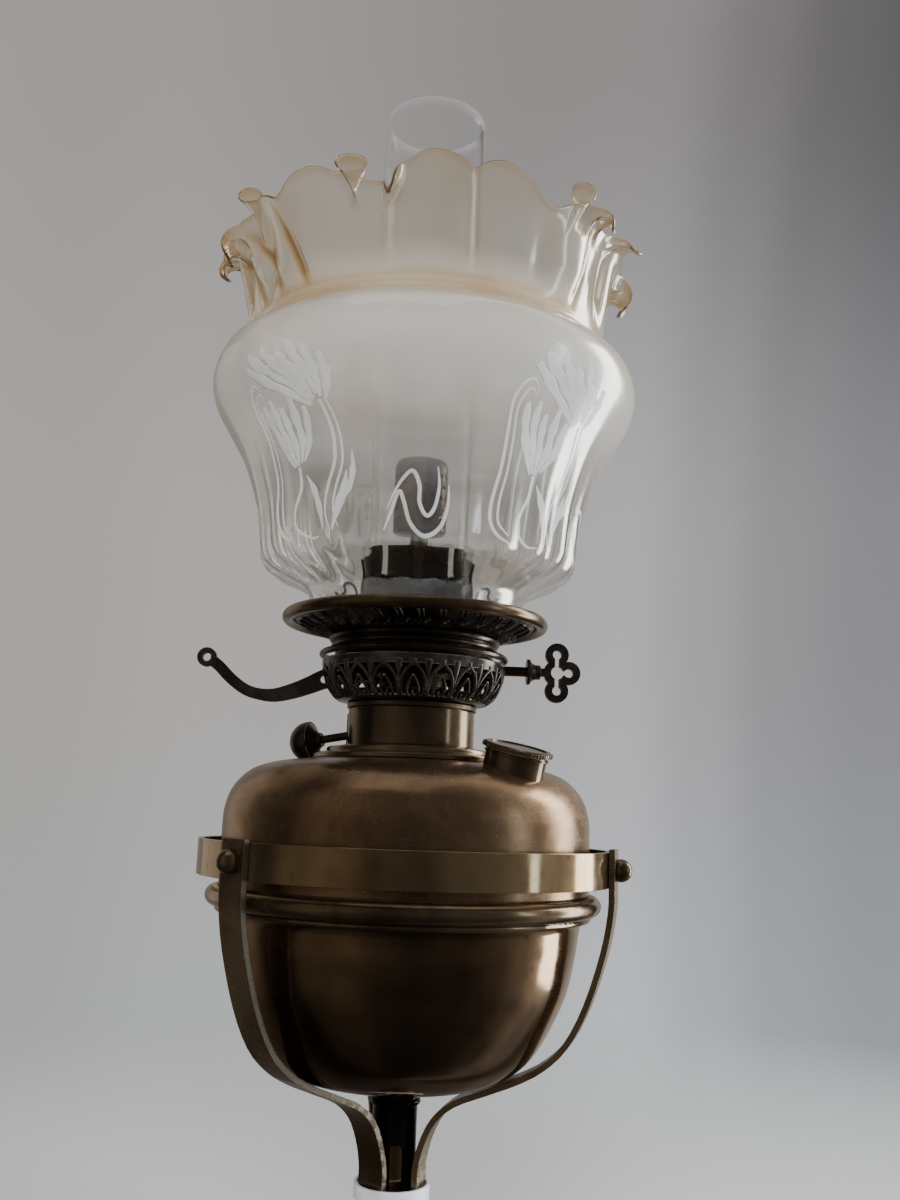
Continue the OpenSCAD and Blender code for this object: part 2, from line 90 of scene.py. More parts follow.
class Nodes:
    """A node tree, with short calls to add and link nodes."""

    def __init__(self, tree):
        self.tree = tree

    def add(self, kind, **inputs):
        """New node; a key with a leading _ sets the node itself, any other key sets an input."""
        node = self.tree.nodes.new(kind)
        for key, value in inputs.items():
            if key.startswith("_"):
                setattr(node, key[1:], value)
            else:
                self.set(node, key, value)
        return node

    def set(self, node, key, value):
        """Link or set an input, by its name or, as i0, i1 and so on, by its number."""
        numbered = key[0] == "i" and key[1:].isdigit()
        socket = node.inputs[int(key[1:])] if numbered else node.inputs[key]
        if isinstance(value, bpy.types.NodeSocket):
            self.tree.links.new(value, socket)
        else:
            socket.default_value = value

    def level(self, value, low, high, to_low=0.0, to_high=1.0):
        """The value's place between low and high, held inside them, as to_low to to_high."""
        node = self.add("ShaderNodeMapRange", Value=value)
        node.inputs["From Min"].default_value = low
        node.inputs["From Max"].default_value = high
        node.inputs["To Min"].default_value = to_low
        node.inputs["To Max"].default_value = to_high
        return node.outputs["Result"]

    def math(self, operation, a, b):
        return self.add("ShaderNodeMath", _operation=operation, i0=a, i1=b).outputs[0]

    def dot(self, a, b):
        return self.add("ShaderNodeVectorMath", _operation="DOT_PRODUCT", i0=a, i1=b).outputs["Value"]

    def mix(self, factor, a, b, blend="MIX"):
        node = self.add("ShaderNodeMix", _data_type="RGBA", _blend_type=blend)
        self.set(node, "i0", factor)
        self.set(node, "i6", a if isinstance(a, bpy.types.NodeSocket) else (*a, 1))
        self.set(node, "i7", b if isinstance(b, bpy.types.NodeSocket) else (*b, 1))
        return node.outputs[2]

    def ramp(self, value, stops):
        node = self.add("ShaderNodeValToRGB", Fac=value)
        set_stops(node.color_ramp, stops)
        return node.outputs["Color"]

    def band(self, value, stops):
        """Colours that change softly along a value, with stops in the value's own units."""
        low, high = stops[0][0], stops[-1][0]
        node = self.add("ShaderNodeValToRGB", Fac=self.level(value, low, high))
        node.color_ramp.interpolation = "EASE"
        set_stops(node.color_ramp, [((at - low) / (high - low), colour) for at, colour in stops])
        return node.outputs["Color"]


class Surface(Nodes):
    """A material's nodes, with patterns laid in the object's own space."""

    def __init__(self, name):
        self.material = bpy.data.materials.new(name)
        self.material.use_nodes = True
        super().__init__(self.material.node_tree)
        self.shader = self.tree.nodes["Principled BSDF"]

    def position(self):
        return self.add("ShaderNodeTexCoord").outputs["Object"]

    def scaled(self, factors):
        node = self.add("ShaderNodeMapping", Vector=self.position())
        node.inputs["Scale"].default_value = factors
        return node.outputs["Vector"]

    def noise(self, scale, detail=3.0, rough=0.5, vector=None, distortion=0.0):
        node = self.add("ShaderNodeTexNoise", Scale=scale, Detail=detail, Roughness=rough,
                        Distortion=distortion, Vector=vector or self.position())
        return node.outputs["Fac"]

    def bump(self, height, strength, distance, normal=None):
        node = self.add("ShaderNodeBump", Strength=strength, Distance=distance, Height=height)
        if normal is not None:
            self.set(node, "Normal", normal)
        return node.outputs["Normal"]

    def attribute(self, name):
        return self.add("ShaderNodeAttribute", _attribute_name=name).outputs["Fac"]

    def height(self):
        return self.add("ShaderNodeSeparateXYZ", Vector=self.position()).outputs["Z"]

    def true_normal(self):
        return self.add("ShaderNodeNewGeometry").outputs["True Normal"]


# ---------------------------------------------------------------- materials


EDGE_START, EDGE_FULL = 0.985, 0.80         # cosines of the bend at which an edge starts to show wear


def worn_edge(n, radius):
    """Normal rounded over at the edges, and how strongly each point lies on an edge."""
    bevel = n.add("ShaderNodeBevel", Radius=radius)
    bevel.samples = 6
    rounded = bevel.outputs[0]
    return rounded, n.level(n.dot(rounded, n.true_normal()), EDGE_START, EDGE_FULL)


def brass(name, deep, mid, bright, rough, stain=0.5, edge=0.5, seed=0, metal=0.97, extra=None):
    """Old polished brass under brown patina: soft clouds, dark spots, rubbed edges, uneven polish."""
    n = Surface(name)
    cloud = n.noise(11 + seed, 4, 0.55, distortion=0.8)
    mottle = n.noise(70 + seed, 4, 0.6)
    spots = n.noise(330, 2, 0.5)
    streak = n.noise(55, 3, 0.5, n.scaled((1, 1, 7)))
    tone = n.math("ADD", n.math("MULTIPLY", cloud, 0.8), n.math("MULTIPLY", mottle, 0.2))
    colour = n.ramp(tone, [(0.34, deep), (0.50, mid), (0.66, bright)])
    tarnish = n.math("MULTIPLY", n.level(spots, 0.66, 0.76), stain)
    colour = n.mix(tarnish, colour, tuple(0.4 * c for c in deep))
    rounded, rubbed = worn_edge(n, 0.5 * MM)
    broken = n.math("MULTIPLY", rubbed, n.level(mottle, 0.35, 0.6, 0.3, 1.0))
    bare = tuple(min(1.0, 1.7 * c + 0.05) for c in bright)
    colour = n.mix(n.math("MULTIPLY", broken, edge), colour, bare)
    if extra:
        colour = extra(n, colour)
    n.set(n.shader, "Base Color", colour)
    n.shader.inputs["Metallic"].default_value = metal
    wear = n.math("ADD", n.math("MULTIPLY", mottle, 0.6), n.math("MULTIPLY", streak, 0.4))
    n.set(n.shader, "Roughness", n.level(wear, 0.34, 0.66, *rough))
    dents = n.bump(n.noise(20, 1, 0.4), 0.10, 0.7 * MM, rounded)
    n.set(n.shader, "Normal", n.bump(mottle, 0.02, 0.06 * MM, dents))
    return n.material


def black_metal(name, base=(0.042, 0.034, 0.03), rub=(0.34, 0.27, 0.20), rough=(0.20, 0.36)):
    """Blackened cast brass with metal rubbed bare on its edges and high spots; a bright rub colour also
    paints glints on those edges.
    """
    n = Surface(name)
    fine = n.noise(120, 4, 0.6)
    rounded, rubbed = worn_edge(n, 0.35 * MM)
    patch = n.level(n.noise(38, 5, 0.7), 0.50, 0.80, 0.0, 0.22)
    both = n.math("MAXIMUM", n.math("MULTIPLY", rubbed, n.level(fine, 0.3, 0.6)), patch)
    n.set(n.shader, "Base Color", n.mix(both, base, rub))
    n.shader.inputs["Metallic"].default_value = 0.9
    n.set(n.shader, "Roughness", n.level(fine, 0.3, 0.7, *rough))
    n.set(n.shader, "Normal", n.bump(n.noise(260, 3, 0.6), 0.18, 0.12 * MM, rounded))
    return n.material


def pale_band(name):
    """Pale plated band, slightly clouded, with fine marks round it."""
    n = Surface(name)
    cloud = n.ramp(n.noise(70, 4), [(0.35, (0.46, 0.45, 0.50)), (0.65, (0.66, 0.65, 0.70))])
    n.set(n.shader, "Base Color", cloud)
    n.shader.inputs["Metallic"].default_value = 0.25
    n.set(n.shader, "Roughness", n.level(n.noise(160, 3), 0.3, 0.7, 0.35, 0.55))
    n.set(n.shader, "Normal", n.bump(n.noise(90, 3, vector=n.scaled((1, 1, 8))), 0.2, 0.1 * MM))
    return n.material


FLECK_START, FLECK_FULL = 0.084, 0.072      # heights between which a strap's side wears pale, m


def strap_brass(name, deep, mid, bright):
    """Strap metal with one narrow side worn pale, in flecks, where it bends in to the stem."""
    low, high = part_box("strap_front_left")
    turn = math.atan2(low.x + high.x, -(low.y + high.y))
    side = (math.cos(turn), math.sin(turn), 0)

    def flecks(n, colour):
        facing = n.dot(n.true_normal(), side)
        broken = n.level(n.noise(230, 4, 0.65), 0.45, 0.50)
        stretch = n.level(n.height(), FLECK_START, FLECK_FULL)
        worn = n.math("MULTIPLY", n.math("MULTIPLY", n.level(facing, 0.8, 0.93), broken), stretch)
        grey = n.mix(n.level(facing, 0.8, 0.93, 0.0, 0.55), colour, (0.42, 0.40, 0.36))
        return n.mix(worn, grey, (0.80, 0.72, 0.55))

    return brass(name, deep, mid, bright, (0.20, 0.38), edge=0.65, seed=9, extra=flecks)


def cotton(name):
    """Woven wick, charred at its top edge."""
    n = Surface(name)
    weave = n.add("ShaderNodeTexWave", Scale=240.0, Distortion=1.0, Vector=n.position(), _bands_direction="Z")
    rib = n.add("ShaderNodeTexWave", Scale=180.0, Distortion=0.6, Vector=n.position(), _bands_direction="X")
    both = n.math("MULTIPLY", weave.outputs["Fac"], rib.outputs["Fac"])
    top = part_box("wick")[1].z
    char = n.level(n.height(), top - 5 * MM, top - 1 * MM)
    cloth = n.mix(both, (0.46, 0.40, 0.29), (0.74, 0.68, 0.54))
    n.set(n.shader, "Base Color", n.mix(char, cloth, (0.03, 0.026, 0.022)))
    n.shader.inputs["Roughness"].default_value = 0.9
    n.set(n.shader, "Normal", n.bump(both, 0.7, 0.3 * MM))
    return n.material


def leather(name):
    """Oiled leather washer with a fine grain."""
    n = Surface(name)
    grain = n.add("ShaderNodeTexVoronoi", Scale=900.0, Vector=n.position()).outputs["Distance"]
    n.set(n.shader, "Base Color", n.mix(n.noise(60, 4), (0.10, 0.055, 0.03), (0.22, 0.13, 0.07)))
    n.set(n.shader, "Roughness", n.level(grain, 0, 0.6, 0.5, 0.8))
    n.set(n.shader, "Normal", n.bump(grain, 0.4, 0.1 * MM))
    return n.material


def clear_glass(name):
    """Thin blown glass: faint smoke and streaks, nearly colourless."""
    n = Surface(name)
    film = n.noise(22, 4, 0.6, n.scaled((1, 1, 0.3)))
    n.set(n.shader, "Base Color", n.mix(n.level(film, 0.35, 0.75), (0.985, 0.99, 0.99), (0.955, 0.96, 0.955)))
    n.shader.inputs["Transmission Weight"].default_value = 1.0
    n.shader.inputs["IOR"].default_value = 1.15
    n.set(n.shader, "Roughness", n.level(film, 0.4, 0.8, 0.0, 0.04))
    n.set(n.shader, "Normal", n.bump(n.noise(9, 2), 0.05, 1.0 * MM))
    return n.material


# Tints of the shade's glass, from clear to the deepest amber
AMBER = [(0.0, (0.995, 0.988, 0.965)), (0.28, (0.965, 0.91, 0.81)), (0.5, (0.90, 0.76, 0.56)),
         (0.75, (0.74, 0.50, 0.25)), (1.0, (0.50, 0.26, 0.08))]
HAZE_WHITE = 0.24          # share of the light that full haze scatters back white
HAZE_ROUGH = 0.22          # roughness that full haze adds
ETCH = (0.93, 0.94, 0.95)


def shade_glass(name):
    """Pearly hazed body that turns honey-amber up the frill, deepest in the folds."""
    n = Surface(name)
    amber = n.attribute("amber")
    haze = n.attribute("haze")
    cloud = n.noise(24, 4, 0.6)
    tint = n.math("ADD", amber, n.math("MULTIPLY", n.level(cloud, 0.3, 0.7, -0.5, 0.5), 0.12))
    n.set(n.shader, "Base Color", n.ramp(tint, AMBER))
    n.set(n.shader, "Transmission Weight", n.math("SUBTRACT", 1.0, n.math("MULTIPLY", haze, HAZE_WHITE)))
    n.shader.inputs["IOR"].default_value = 1.45
    n.set(n.shader, "Roughness", n.math("ADD", n.math("MULTIPLY", haze, HAZE_ROUGH), 0.02))
    n.shader.inputs["Coat Weight"].default_value = 1.0
    n.shader.inputs["Coat IOR"].default_value = 2.2
    n.shader.inputs["Coat Roughness"].default_value = 0.15
    n.set(n.shader, "Normal", n.bump(n.noise(40, 3), 0.10, 0.6 * MM))
    return n.material


def etched_glass(name):
    """Acid-etched white skin, grainy and not quite opaque."""
    n = Surface(name)
    grain = n.noise(700, 3, 0.6)
    n.set(n.shader, "Base Color", n.mix(grain, tuple(0.95 * c for c in ETCH), ETCH))
    n.shader.inputs["Transmission Weight"].default_value = 0.72
    n.shader.inputs["IOR"].default_value = 1.04
    n.set(n.shader, "Roughness", n.level(grain, 0.3, 0.7, 0.45, 0.6))
    n.set(n.shader, "Normal", n.bump(grain, 0.3, 0.05 * MM))
    return n.material


M_FONT = brass("brass_font", (0.12, 0.08, 0.05), (0.29, 0.198, 0.122), (0.45, 0.325, 0.205),
               (0.08, 0.17), seed=1, metal=0.992)
M_DOME = brass("brass_dome", (0.11, 0.068, 0.042), (0.27, 0.178, 0.107), (0.42, 0.295, 0.185),
               (0.20, 0.32), stain=0.2, seed=4, metal=0.96)
M_RING = brass("brass_ring", (0.22, 0.15, 0.085), (0.38, 0.275, 0.16), (0.52, 0.40, 0.245),
               (0.07, 0.15), edge=0.6, seed=5)
M_STRAP = strap_brass("brass_strap", (0.15, 0.105, 0.066), (0.27, 0.20, 0.13), (0.38, 0.30, 0.21))
M_BEAD = brass("brass_bead", (0.13, 0.095, 0.06), (0.25, 0.185, 0.12), (0.38, 0.29, 0.19),
               (0.12, 0.26), seed=7)
M_BURNER = brass("brass_burner", (0.05, 0.036, 0.024), (0.11, 0.08, 0.052), (0.20, 0.15, 0.095),
                 (0.26, 0.45), seed=13)
M_RIM = brass("brass_rim", (0.08, 0.058, 0.04), (0.16, 0.115, 0.075), (0.28, 0.21, 0.14),
              (0.14, 0.30), edge=0.7, seed=3)
M_NECK = brass("brass_neck", (0.035, 0.028, 0.024), (0.065, 0.05, 0.042), (0.12, 0.095, 0.078),
               (0.18, 0.34), seed=8)
M_COLLAR = brass("brass_collar", (0.09, 0.064, 0.042), (0.17, 0.122, 0.08), (0.27, 0.20, 0.135),
                 (0.12, 0.25), seed=6)
M_BLACK = black_metal("blackened_brass")
# Pierced work: its pale rub colour is partly rubbed brass, partly painted glints on every bar edge
M_PIERCED_GLINTING = black_metal("blackened_pierced_glints", (0.05, 0.044, 0.041), (0.60, 0.54, 0.47), (0.16, 0.30))
M_TUBE = black_metal("black_lacquer", (0.012, 0.012, 0.013), (0.05, 0.042, 0.034))
M_BAND = pale_band("pale_band")
M_WICK = cotton("wick_cotton")
M_WASHER = leather("washer_leather")
M_CLEAR = clear_glass("chimney_glass")
M_SHADE = shade_glass("shade_glass")
M_ETCH = etched_glass("etched_glass")

FINISH = {
    M_FONT: ["font_bowl", "lever_pin", "stem"],
    M_DOME: ["font_dome"],
    M_COLLAR: ["font_collar", "filler_neck", "filler_cap", "winder_plate"],
    M_NECK: ["gallery_neck", "basket_rim", "winder_knob"],
    M_RING: ["cradle_ring"],
    M_STRAP: ["strap_front_left", "strap_right", "strap_rear"],
    M_BEAD: ["ring_screws", "stem_screws", "seam_bead", "shoulder_ring"],
    M_RIM: ["gallery_rim"],
    M_BURNER: ["centre_tube", "outer_wick_tube", "burner_collar", "air_diffuser", "lever_bracket",
               "key_bracket", "winder_shaft", "winder_pinion", "wick_carrier", "key_shaft", "key_pinion",
               "gallery_floor", "gallery_rack", "extinguisher_sleeve", "flame_spreader", "spreader_stem"],
    M_BLACK: ["burner_basket", "trefoil_key", "gallery_plate", "lever"],
    M_TUBE: ["draught_tube", "chimney_crown", "crown_scrolls"],
    M_BAND: ["stem_band"],
    M_WICK: ["wick"],
    M_WASHER: ["cap_washer"],
}


def finish_nodes():
    for material, names in FINISH.items():
        for name in names:
            mesh = NODES[name].data
            mesh.materials.clear()
            mesh.materials.append(material)


finish_nodes()

# ---------------------------------------------------------------- mesh helpers


def smooth_curve(points, steps):
    """Points of a curve that passes smoothly through the given ones."""
    p = np.array(points, float)
    out = []
    last = len(p) - 1
    for i in range(last):
        p0, p1, p2, p3 = p[max(i - 1, 0)], p[i], p[i + 1], p[min(i + 2, last)]
        for s in range(steps):
            t = s / steps
            out.append(((2 * p1) + (p2 - p0) * t + (2 * p0 - 5 * p1 + 4 * p2 - p3) * t * t
                        + (3 * p1 - p0 - 3 * p2 + p3) * t ** 3) / 2)
    out.append(p[-1])
    return np.array(out)


def wrap(angle):
    """The same angle between -180 and 180 degrees."""
    return (angle + 180) % 360 - 180


def grid_faces(rows, columns, closed):
    """Quads between the rows of a grid of vertices; closed joins the last column to the first."""
    faces = []
    span = columns if closed else columns - 1
    for r in range(rows - 1):
        for c in range(span):
            d = (c + 1) % columns
            faces.append((r * columns + c, r * columns + d, (r + 1) * columns + d, (r + 1) * columns + c))
    return faces


def closed_faces(rows, columns):
    """Quads of a grid whose last row also joins its first, as on a ring's skin."""
    size = rows * columns
    return [tuple(v % size for v in face) for face in grid_faces(rows + 1, columns, True)]


def slab_faces(rows, lanes):
    """Faces of a closed slab made of a top grid and, after it, a matching bottom grid."""
    face = grid_faces(rows, lanes, False)
    count = rows * lanes
    faces = face + [tuple(v + count for v in reversed(f)) for f in face]
    rim = ([(0, c) for c in range(lanes)] + [(r, lanes - 1) for r in range(1, rows)]
           + [(rows - 1, c) for c in range(lanes - 2, -1, -1)] + [(r, 0) for r in range(rows - 2, 0, -1)])
    edge = [r * lanes + c for r, c in rim]
    for a, b in zip(edge, edge[1:] + edge[:1]):
        faces.append((a, a + count, b + count, b))
    return faces


def around(r, azimuth, z):
    """Points at radius r and height z, at degrees round the lamp from the front towards the right."""
    angle = np.radians(azimuth)
    return np.stack([r * np.sin(angle), -r * np.cos(angle), z], axis=-1)


def direction(path):
    """Unit vector along a path at each of its points."""
    along = np.gradient(path, axis=0)
    return along / np.linalg.norm(along, axis=1, keepdims=True)


def left_of(along):
    """Vectors a quarter turn to the left of flat ones."""
    return np.c_[-along[:, 1], along[:, 0]]


def spread(values, count):
    """The given values spread evenly over count places."""
    return np.interp(np.linspace(0, 1, count), np.linspace(0, 1, len(values)), values)


def strip(path, width, across):
    """Flat grid of points along a path: across gives each lane's place as a share of the width."""
    side = left_of(direction(path))
    return path[:, None, :] + side[:, None, :] * width[:, None, None] * across[None, :, None]


def merged(parts):
    """Points and faces of one mesh made of several, each a pair of points and faces."""
    points, faces, base = [], [], 0
    for part_points, part_faces in parts:
        points.append(part_points)
        faces += [tuple(v + base for v in face) for face in part_faces]
        base += len(part_points)
    return np.concatenate(points), faces


def add_mesh(name, points, faces, material, body):
    """Smooth-shaded piece from points in mm, riding on a body."""
    mesh = bpy.data.meshes.new(name)
    mesh.from_pydata([tuple(p) for p in np.asarray(points) * MM], [], faces)
    mesh.validate()
    mesh.polygons.foreach_set("use_smooth", [True] * len(mesh.polygons))
    mesh.materials.append(material)
    piece = bpy.data.objects.new(name, mesh)
    bpy.context.scene.collection.objects.link(piece)
    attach(piece, body)
    return piece


def revolve(name, profile, material, body, segments):
    """Closed (r, z) profile turned round the lamp's axis, mm."""
    azimuth = np.arange(segments) * 360 / segments
    rings = [around(r, azimuth, np.full(segments, z)) for r, z in profile]
    return add_mesh(name, np.concatenate(rings), closed_faces(len(rings), segments), material, body)


# ---------------------------------------------------------------- chimney

CHIMNEY_WALL = 1.2         # mm
CHIMNEY_INSET = 0.3        # how far the wall's mean lies inside the chimney's outer radius, mm
CHIMNEY_WAVE = 0.25        # slow waver of the blown wall up its height, mm
CHIMNEY_WAVE_TURN = 9      # radians of that waver from foot to lip
LIP_INSET, LIP_DROP = 0.35, 0.4     # where the fire-polished lip starts to round over, mm
EDGE_SHARE = 0.6           # share of the wall at which the crest of foot and lip lies


def make_chimney():
    low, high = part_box("chimney")
    foot, top, outer = low.z / MM, high.z / MM, high.x / MM
    outline = [(outer - CHIMNEY_INSET + CHIMNEY_WAVE * math.sin(CHIMNEY_WAVE_TURN * rise),
                foot + rise * (top - foot)) for rise in np.linspace(0, 1, 40)]
    outline[-1] = (outer - LIP_INSET, top - LIP_DROP)
    inner = [(r - CHIMNEY_WALL, z) for r, z in reversed(outline)]
    crest = outer - EDGE_SHARE * CHIMNEY_WALL
    profile = outline + [(crest, top)] + inner + [(crest, foot)]
    piece = revolve("chimney_glass", profile, M_CLEAR, "chimney", segments=160)
    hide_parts("chimney")


make_chimney()

# ---------------------------------------------------------------- font

FONT_WALL = 1.2            # mm
# Outer outlines: radius, and height above the foot of the CAD node, mm
BOWL = [(82.4, 73.1), (80.2, 69.4), (79.2, 64.9), (77.9, 55.9), (74.4, 39.9), (67.8, 24.9), (60.7, 13.3),
        (54, 6.8), (48, 3.2), (40, 0.9), (30, 0), (20, -0.05), (9.9, -0.05)]
DOME = [(83.5, 0), (83.5, 14.5), (83.5, 27.5), (83.0, 34), (80.9, 41), (77.1, 46.7), (72.0, 51.1),
        (66.0, 53.7), (58.5, 55.5), (46, 57), (36, 57.8), (28.1, 58.4)]


def standing(outline, node):
    """An outline whose heights count from a CAD node's foot, set at that foot, mm."""
    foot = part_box(node)[0].z / MM
    return [(r, foot + z) for r, z in outline]


def spun_shell(name, outline, material, node):
    """Thin spun shell from its outer outline, closed by its own wall."""
    outer = smooth_curve(standing(outline, node), 8)
    inward = left_of(direction(outer))
    middle = np.array([0, outer[:, 1].mean()])
    if np.sum((middle - outer[0]) * inward[0]) < 0:
        inward = -inward
    inner = outer + inward * FONT_WALL
    piece = revolve(name, np.concatenate([outer, inner[::-1]]), material, "font", segments=256)
    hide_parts(node)


spun_shell("font_bowl_spun", BOWL, M_FONT, "font_bowl")
spun_shell("font_dome_spun", DOME, M_DOME, "font_dome")

# ---------------------------------------------------------------- pierced brass

BAR_LANES = 6              # points across each bar
BAR_EDGE = 0.35            # height of a bar's edges, as a share of the height of its middle
BAND_HEIGHT = 0.55         # height of the plain bands, as a share of that height
SUNK = 0.4                 # how far bars and bands reach below the face, as a share of that height
BAND_SEGMENTS = 192


def along_profile(points):
    """Dense outline with the distance along it, so that a place is found by its distance, mm."""
    line = smooth_curve(points, 10)
    gaps = np.linalg.norm(np.diff(line, axis=0), axis=1)
    return line, np.concatenate([[0], np.cumsum(gaps)])


def on_profile(profile, azimuth, distance, proud):
    """Point at a distance along a turned outline, moved off its outer face by proud, mm."""
    line, run = profile
    r = np.interp(distance, run, line[:, 0])
    z = np.interp(distance, run, line[:, 1])
    dr = np.interp(distance + 0.2, run, line[:, 0]) - np.interp(distance - 0.2, run, line[:, 0])
    dz = np.interp(distance + 0.2, run, line[:, 1]) - np.interp(distance - 0.2, run, line[:, 1])
    size = np.hypot(dr, dz)
    return around(r + proud * dz / size, azimuth, z - proud * dr / size)


def bar_mesh(profile, points, widths, centre, mean_radius, thick):
    """One raised bar of pierced work, rounded on its outer face, along a path on a turned outline."""
    path = smooth_curve(points, 5)
    across = np.linspace(-0.5, 0.5, BAR_LANES)
    flat = strip(path, spread(widths, len(path)), across)
    azimuth = centre + np.degrees(flat[..., 0] / mean_radius)
    crown = thick * (BAR_EDGE + (1 - BAR_EDGE) * np.sqrt(1 - (2 * across) ** 2))
    top = on_profile(profile, azimuth, flat[..., 1], crown).reshape(-1, 3)
    bottom = on_profile(profile, azimuth, flat[..., 1], -SUNK * thick).reshape(-1, 3)
    return np.concatenate([top, bottom]), slab_faces(len(path), BAR_LANES)


def ring_band(profile, start, end, thick):
    """Plain band of the pierced work between two distances along its outline, all the way round."""
    azimuth = np.arange(BAND_SEGMENTS) * 360 / BAND_SEGMENTS
    stops = [np.full(BAND_SEGMENTS, distance) for distance in np.linspace(start, end, 8)]
    rows = [on_profile(profile, azimuth, stop, BAND_HEIGHT * thick) for stop in stops]
    rows += [on_profile(profile, azimuth, stop, -SUNK * thick) for stop in reversed(stops)]
    return np.concatenate(rows), closed_faces(len(rows), BAND_SEGMENTS)


def pierced_piece(name, body, node, outline, motif, repeats, mean_radius, thick, bands, gaps=()):
    """Pierced ornament: one motif of bars repeated round an outline, between plain bands.

    Bands are pairs of distances along the outline; gaps are azimuths and half-widths left without bars.
    """
    profile = along_profile(standing(outline, node))
    parts = [ring_band(profile, start, end, thick) for start, end in bands]
    for centre in (360 * k / repeats for k in range(repeats)):
        if not any(abs(wrap(centre - at)) < half for at, half in gaps):
            parts += [bar_mesh(profile, path, widths, centre, mean_radius, thick) for path, widths in motif]
    piece = add_mesh(name, *merged(parts), M_PIERCED_GLINTING, body)
    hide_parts(node)


def circle(x, y, radius):
    """Closed path of eight steps round a point."""
    return [(x + radius * math.cos(TAU * i / 8), y + radius * math.sin(TAU * i / 8)) for i in range(9)]


def both_sides(path, widths):
    """A bar and its mirror image."""
    return [(path, widths), ([(-x, y) for x, y in path], widths)]


# Bars of each motif: points (mm across, mm along the outline from its foot), then widths from start to end
BASKET_MOTIF = [
    *both_sides([(-5.7, 7.5), (-5.9, 12.5), (-5.2, 17), (-3.2, 20.8), (-0.5, 23.4), (-0.2, 25.5)],
                (1.9, 1.6, 1.5, 1.5, 1.7, 2.0)),
    *both_sides([(-2.4, 7.5), (-2.9, 11), (-2.0, 14.8), (-0.1, 18.6)], (1.7, 1.4, 1.2, 0.7)),
    ([(6.4, 25.5), (6.4, 22.5), (6.4, 19), (6.4, 14.5)], (3.4, 3.0, 1.6, 0.5)),
    (circle(6.3, 10.6, 1.25), (0.8, 0.8, 0.8)),
    ([(0, 7.5), (0, 9), (0, 10.6)], (2.6, 1.8, 0.5)),
]
GALLERY_MOTIF = [
    ([(-2.7, 2.6), (-1.3, 5.5), (0.7, 9), (1.5, 12.5), (0.5, 18)], (1.5, 1.0, 0.9, 1.0, 1.3)),
    ([(-0.4, 2.6), (0.8, 5.5), (2.6, 9), (3.4, 12.5), (2.4, 18)], (1.2, 0.8, 0.8, 0.9, 1.2)),
    ([(3.7, 1.8), (3.9, 4.4), (4.9, 7.6)], (2.9, 2.4, 0.5)),
    (circle(5.6, 9.4, 0.8), (0.6, 0.6)),
]
# Outlines that the motifs lie on: radius, and height above the foot of the CAD node, mm
BASKET = [(27, 0), (33.5, 1.1), (38.6, 5), (41.3, 10.8), (42.3, 16.3), (42.4, 20.4)]
GALLERY = [(37.6, 0.4), (44, 1), (50.6, 3.4), (56.4, 6.6)]
LEVER_GAP = (-90, 6)       # azimuth and half-width of the basket's opening for the lever, degrees

pierced_piece("basket_pierced", "font", "burner_basket", BASKET, BASKET_MOTIF, repeats=20,
              mean_radius=41.0, thick=0.9, bands=[(0, 8.4), (23.6, 28.2)], gaps=[LEVER_GAP])
pierced_piece("gallery_pierced", "gallery", "gallery_plate", GALLERY, GALLERY_MOTIF, repeats=34,
              mean_radius=48.0, thick=0.8, bands=[(0, 3.0), (17.5, 20.1)])

# ---------------------------------------------------------------- shade

SHADE_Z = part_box("shade")[0].z / MM
GLASS = 1.7                # wall of the shade, mm
RIM_THINNER = 0.45         # share of the wall that is lost from waist to rim
SHADE_COLUMNS = 1080

# Body from the fitter to the waist: radius and height above the shade's foot, mm
BODY = smooth_curve([
    (50.5, 0), (50.5, 7.6), (53, 12.2), (61, 16.4), (69.5, 20.6), (73.8, 26.6), (75.4, 37.6),
    (78, 52.6), (84.6, 71.6), (93, 86.6), (100.2, 99), (102.2, 109.6), (99, 120.2), (92, 126.2),
    (86.8, 130.4), (86.4, 134.4)], 6)

RIBS = 24                  # optic ribs moulded in the body
RIB_HEIGHT = 1.0           # mm
FRILL_STEPS = 64
FRILL_LENGTH = 48.5        # from waist to rim along the glass, mm
FRILL_LEAN = 3             # degrees that the frill leans out at the waist
LEAN_GAIN = 15             # degrees that it leans further out by the rim
LEAN_SWAY = 5              # degrees that this varies round the shade
PLEAT_LEAN = 0.9           # degrees of lean for each mm of pleat
LIP_LEAN = 20              # degrees that the rim itself is turned out further
CURL_START = 0.66          # share of the frill's length where a curl begins
CURL_LIMIT = 250           # largest turn of a curl, degrees
# Slow billows round the frill: waves round the shade, height in mm, phase
BILLOWS = [(9, 1.6, 0.6), (5, 1.0, 2.0)]

# Rim above or below its mean height: azimuth, half-width, rise in mm
RIM_WAVES = [
    (0, 9, 4.5), (-12, 6, -9), (-22, 6, -6), (-36, 8, 4.5), (-47, 3.5, -4), (-57, 5, 3), (10.5, 2.6, -3),
    (18, 6, 4), (34, 7, -9), (58, 5, -4), (82, 6, 3), (97, 5, -9), (112, 7, 4), (128, 5, -5), (147, 8, 4),
    (162, 4, -8), (182, 9, 5), (203, 5, -7), (222, 8, 4), (240, 4, -6), (262, 8, 3), (284, 4, -8)]
# Pleats pressed into the frill: azimuth, half-width, depth inwards in mm
PLEATS = [
    (-77, 3.2, 4.6), (-58, 4.0, 3.0), (-12, 3.5, 1.6), (10, 2.0, 1.0), (33, 4.0, 2.2), (49, 9, -3.0),
    (67, 3.6, 4.6), (82, 3.4, 4.4), (104, 4, 4.0), (127, 4, 3.4), (143, 5, 1.6), (162, 4, 4.0),
    (180, 5, 1.2), (203, 4, 4.2), (221, 4, 2.0), (240, 4, 4.4), (258, 4, 3.4), (272, 4, 4.6)]
